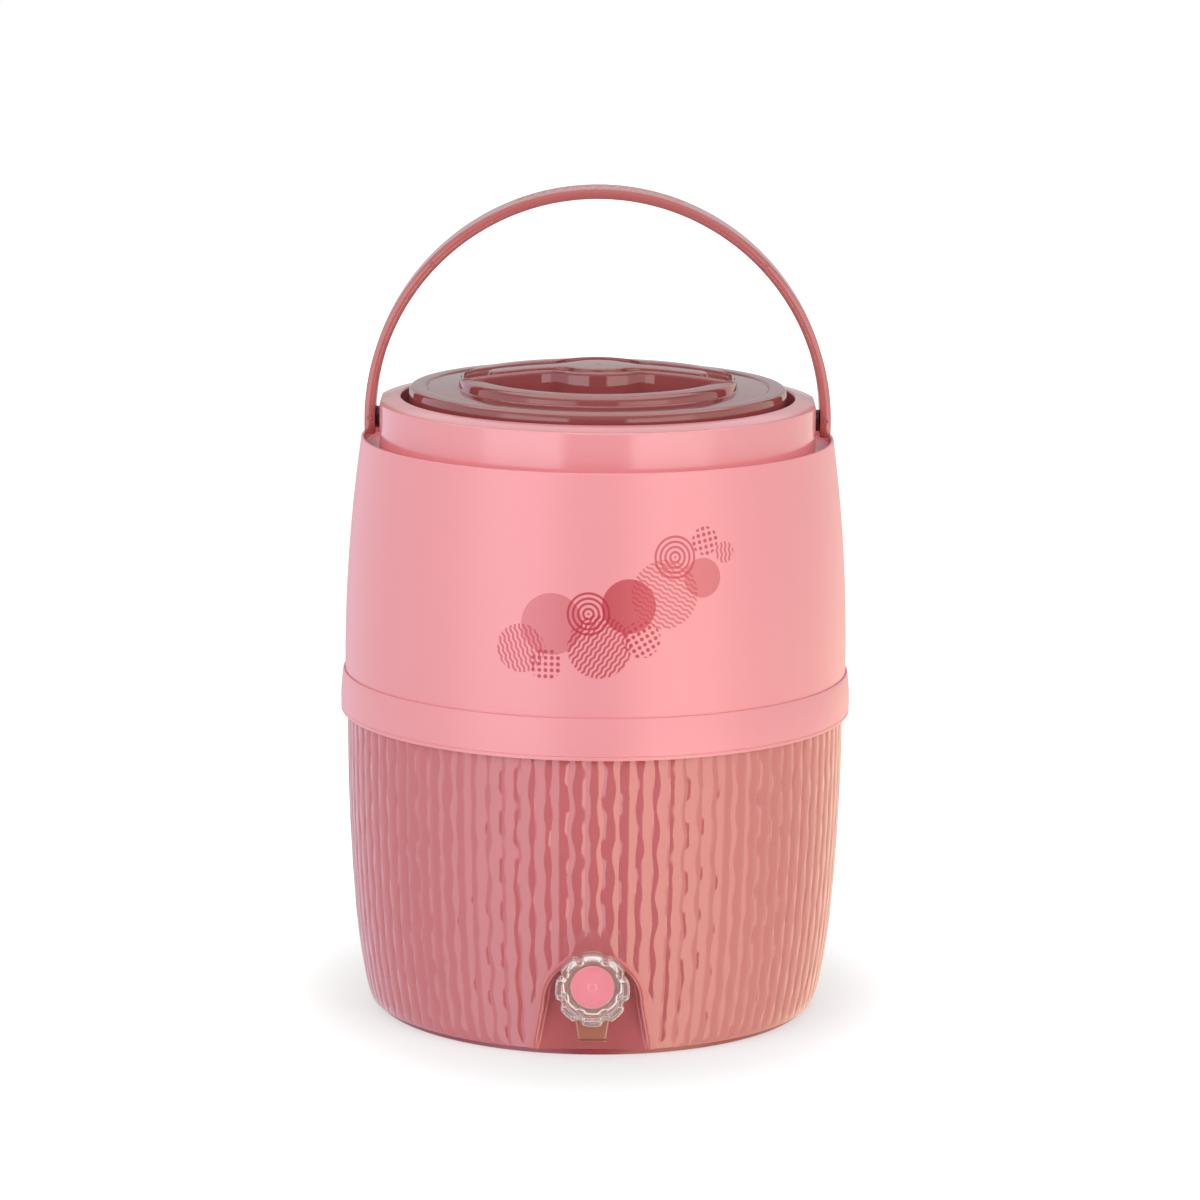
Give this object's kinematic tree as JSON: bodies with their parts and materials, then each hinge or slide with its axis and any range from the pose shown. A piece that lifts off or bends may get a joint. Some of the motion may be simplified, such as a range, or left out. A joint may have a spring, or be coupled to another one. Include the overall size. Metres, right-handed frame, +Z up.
{
  "type": "insulated water jug",
  "caption": "Round insulated drink jug with a screw lid, a folding bail over the top and a twist tap near the base.",
  "frame": {"origin": "centre of the base plate's underside, on the floor", "axes": "+Z up through the middle of the lid; the tap faces -Y; the bail hinges on a line along X"},
  "size_m": [0.2898, 0.3044, 0.4697],
  "materials": {
    "lower_plastic": "gloss",
    "upper_plastic": "gloss",
    "base_plastic": "satin",
    "liner_plastic": "gloss",
    "foam": "matte",
    "lid_plastic": "gloss",
    "bail_plastic": "satin",
    "washer_plastic": "satin",
    "tap_plastic": "satin",
    "seal_rubber": "matte",
    "clip_steel": "satin",
    "knob_clear": "gloss"
  },
  "bodies": {
    "jug": {"lower_jacket": "lower_plastic", "upper_jacket": "upper_plastic", "waist_band": "upper_plastic", "base_plate": "base_plastic", "collar": "upper_plastic", "inner_liner": "liner_plastic", "foam_insulation": "foam", "pivot_pin_left": "bail_plastic", "pivot_pin_right": "bail_plastic", "pivot_washer_left": "washer_plastic", "pivot_washer_right": "washer_plastic", "tap_body": "tap_plastic", "tap_outer_gasket": "seal_rubber", "tap_inner_gasket": "seal_rubber", "tap_nut": "tap_plastic", "tap_bonnet": "tap_plastic", "stem_o_ring": "seal_rubber", "knob_retainer": "tap_plastic"},
    "bail": {"bail_handle": "bail_plastic"},
    "lid_seal": {"lid_gasket": "seal_rubber"},
    "lid": {"lid_cover": "lid_plastic", "lid_inner_cover": "liner_plastic", "lid_foam": "foam"},
    "valve": {"valve_stem": "tap_plastic", "valve_washer": "seal_rubber"},
    "knob": {"tap_knob": "knob_clear", "knob_cap": "upper_plastic", "knob_clip": "clip_steel"}
  },
  "joints": [
    {"name": "bail_swing", "type": "hinge", "parent": "jug", "child": "bail", "pos_m": [0, 0, 0.3376], "axis": [1, 0, 0], "range_deg": [-88, 88]},
    {"name": "lid_lift", "type": "slide", "parent": "jug", "child": "lid_seal", "axis": [0, 0, 1], "range_m": [0, 0.045]},
    {"name": "lid_turn", "type": "hinge", "parent": "lid_seal", "child": "lid", "pos_m": [0, 0, 0.35], "axis": [0, 0, 1], "range_deg": [0, 360]},
    {"name": "knob_turn", "type": "hinge", "parent": "jug", "child": "knob", "pos_m": [0, -0.15, 0.0463], "axis": [0, -1, 0], "range_deg": [0, 120]},
    {"name": "valve_lift", "type": "slide", "parent": "jug", "child": "valve", "axis": [0, -1, 0], "range_m": [0, 0.003]}
  ],
  "couplings": [
    {"joint": "valve_lift", "follows": "knob_turn", "m_per_rad": 0.001432}
  ]
}
